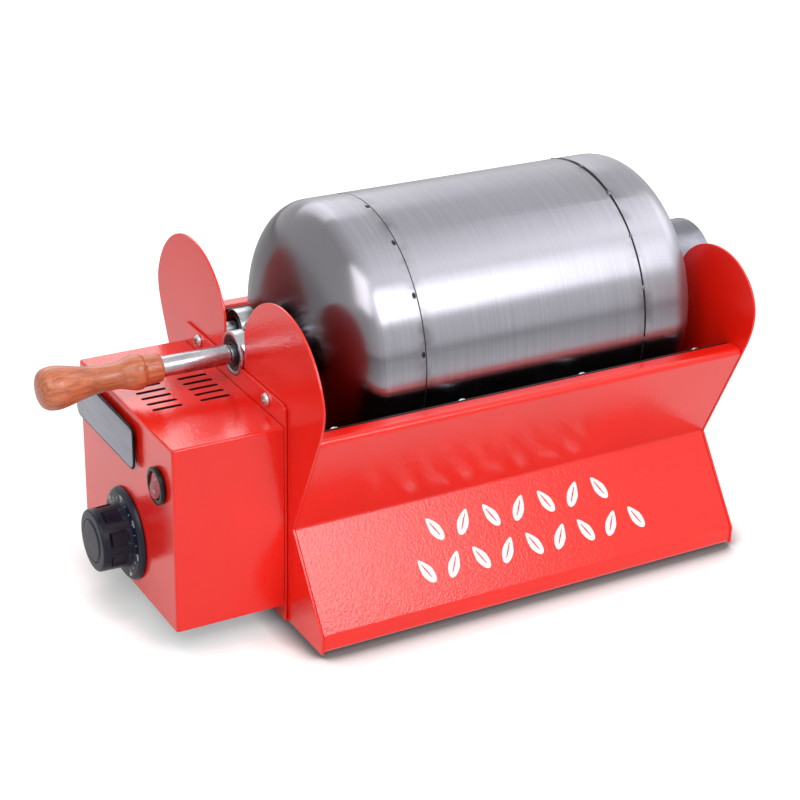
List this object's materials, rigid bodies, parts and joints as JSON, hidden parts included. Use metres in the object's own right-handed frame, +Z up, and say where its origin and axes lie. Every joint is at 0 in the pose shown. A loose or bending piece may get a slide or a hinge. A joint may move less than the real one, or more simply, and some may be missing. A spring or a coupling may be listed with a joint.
{
  "type": "nut roasting machine",
  "caption": "Table-top roaster: a motor-driven steel drum with a wooden lifting handle turns over electric heaters in a red sheet-metal stand with a control box.",
  "frame": {"origin": "on the surface it stands on, under the middle of its bounding box", "axes": "+X along the drum towards its mouth, -Y the front, +Z up"},
  "size_m": [0.4356, 0.223, 0.2231],
  "materials": {
    "red_paint": "glossy powder coat",
    "black_paint": "heat-proof black, satin",
    "stainless": "brushed",
    "bright_steel": "turned, bright",
    "dark_steel": "oxidised",
    "bronze": "sintered",
    "wood": "turned and oiled",
    "black_plastic": "moulded, satin gloss",
    "rubber": "matt",
    "red_lens": "clear moulded, glossy",
    "ceramic": "unglazed ceramic",
    "zinc_plate": "zinc plated, dull"
  },
  "bodies": {
    "stand": {"left_end_plate": "red_paint", "right_end_plate": "red_paint", "front_panel": "red_paint", "back_panel": "red_paint", "base_plate": "zinc_plate", "foot_front_left": "rubber", "foot_back_left": "rubber", "foot_front_right": "rubber", "foot_back_right": "rubber", "heat_trough": "black_paint", "heating_element_front": "dark_steel", "heating_element_back": "dark_steel", "element_bracket_left": "zinc_plate", "element_bracket_right": "zinc_plate", "guide_stud_front": "bright_steel", "guide_stud_back": "bright_steel", "neck_stud_front": "bright_steel", "neck_stud_back": "bright_steel", "neck_stud_nut_front": "bright_steel", "neck_stud_nut_back": "bright_steel", "box_back_plate": "red_paint", "flange_screw_front": "bright_steel", "flange_screw_back": "bright_steel", "box_cover": "red_paint", "box_floor": "zinc_plate", "gearmotor": "zinc_plate", "motor_screw_front": "bright_steel", "motor_screw_back": "bright_steel", "shaft_bush": "bronze", "thermostat": "black_plastic", "switch_body": "black_plastic", "blank_badge": "stainless", "cable_gland": "black_plastic", "gland_nut": "black_plastic", "terminal_block": "ceramic"},
    "drum_carrier": {"bearing_outer_ring": "bright_steel"},
    "drum": {"bearing_inner_ring": "bright_steel", "drum_shaft": "bright_steel", "handle_rod": "stainless", "drum_hub": "bright_steel", "hub_gear": "dark_steel", "hub_backing": "stainless", "rear_dome": "stainless", "drum_shell": "stainless", "front_dome": "stainless", "drum_neck": "stainless"},
    "balls": {"ball_cage": "bright_steel"},
    "grip": {"wood_grip": "wood"},
    "pinion": {"motor_shaft": "bright_steel", "drive_pinion": "dark_steel"},
    "guide_wheel_front": {"guide_roller_front": "bright_steel"},
    "guide_wheel_back": {"guide_roller_back": "bright_steel"},
    "neck_wheel_front": {"neck_roller_front": "bright_steel"},
    "neck_wheel_back": {"neck_roller_back": "bright_steel"},
    "knob": {"knob_spindle": "bright_steel", "thermostat_knob": "black_plastic", "knob_cap": "black_plastic"},
    "rocker": {"switch_rocker": "red_lens"}
  },
  "joints": [
    {"name": "drum_tilt", "type": "hinge", "parent": "stand", "child": "drum_carrier", "pos_m": [0.21645, 0, 0.1545], "axis": [0, 1, 0], "range_deg": [0, 35]},
    {"name": "drum_spin", "type": "hinge", "parent": "drum_carrier", "child": "drum", "pos_m": [0, 0, 0.1431], "axis": [1, 0, 0], "continuous": true},
    {"name": "balls_spin", "type": "hinge", "parent": "drum_carrier", "child": "balls", "pos_m": [-0.0974, 0, 0.1431], "axis": [1, 0, 0], "continuous": true},
    {"name": "grip_spin", "type": "hinge", "parent": "drum", "child": "grip", "pos_m": [-0.18, 0, 0.1431], "axis": [1, 0, 0], "continuous": true},
    {"name": "pinion_spin", "type": "hinge", "parent": "stand", "child": "pinion", "pos_m": [-0.07, 0, 0.10685], "axis": [1, 0, 0], "continuous": true},
    {"name": "guide_front_spin", "type": "hinge", "parent": "stand", "child": "guide_wheel_front", "pos_m": [-0.08, -0.02826, 0.1445], "axis": [1, 0, 0], "continuous": true},
    {"name": "guide_back_spin", "type": "hinge", "parent": "stand", "child": "guide_wheel_back", "pos_m": [-0.08, 0.02826, 0.1445], "axis": [1, 0, 0], "continuous": true},
    {"name": "neck_front_spin", "type": "hinge", "parent": "stand", "child": "neck_wheel_front", "pos_m": [0.19, -0.02829, 0.11274], "axis": [1, 0, 0], "continuous": true},
    {"name": "neck_back_spin", "type": "hinge", "parent": "stand", "child": "neck_wheel_back", "pos_m": [0.19, 0.02829, 0.11274], "axis": [1, 0, 0], "continuous": true},
    {"name": "knob_turn", "type": "hinge", "parent": "stand", "child": "knob", "pos_m": [-0.18, 0, 0.0436], "axis": [1, 0, 0], "range_deg": [0, 300]},
    {"name": "rocker_tip", "type": "hinge", "parent": "stand", "child": "rocker", "pos_m": [-0.16875, -0.0489, 0.0969], "axis": [0, 1, 0], "range_deg": [-13.5, 0]}
  ],
  "couplings": [
    {"joint": "pinion_spin", "follows": "drum_spin", "ratio": -1.4167},
    {"joint": "balls_spin", "follows": "drum_spin", "ratio": 0.36667},
    {"joint": "guide_front_spin", "follows": "drum_spin", "ratio": -1.3529},
    {"joint": "guide_back_spin", "follows": "drum_spin", "ratio": -1.3529},
    {"joint": "neck_front_spin", "follows": "drum_spin", "ratio": -2.7455},
    {"joint": "neck_back_spin", "follows": "drum_spin", "ratio": -2.7455}
  ]
}
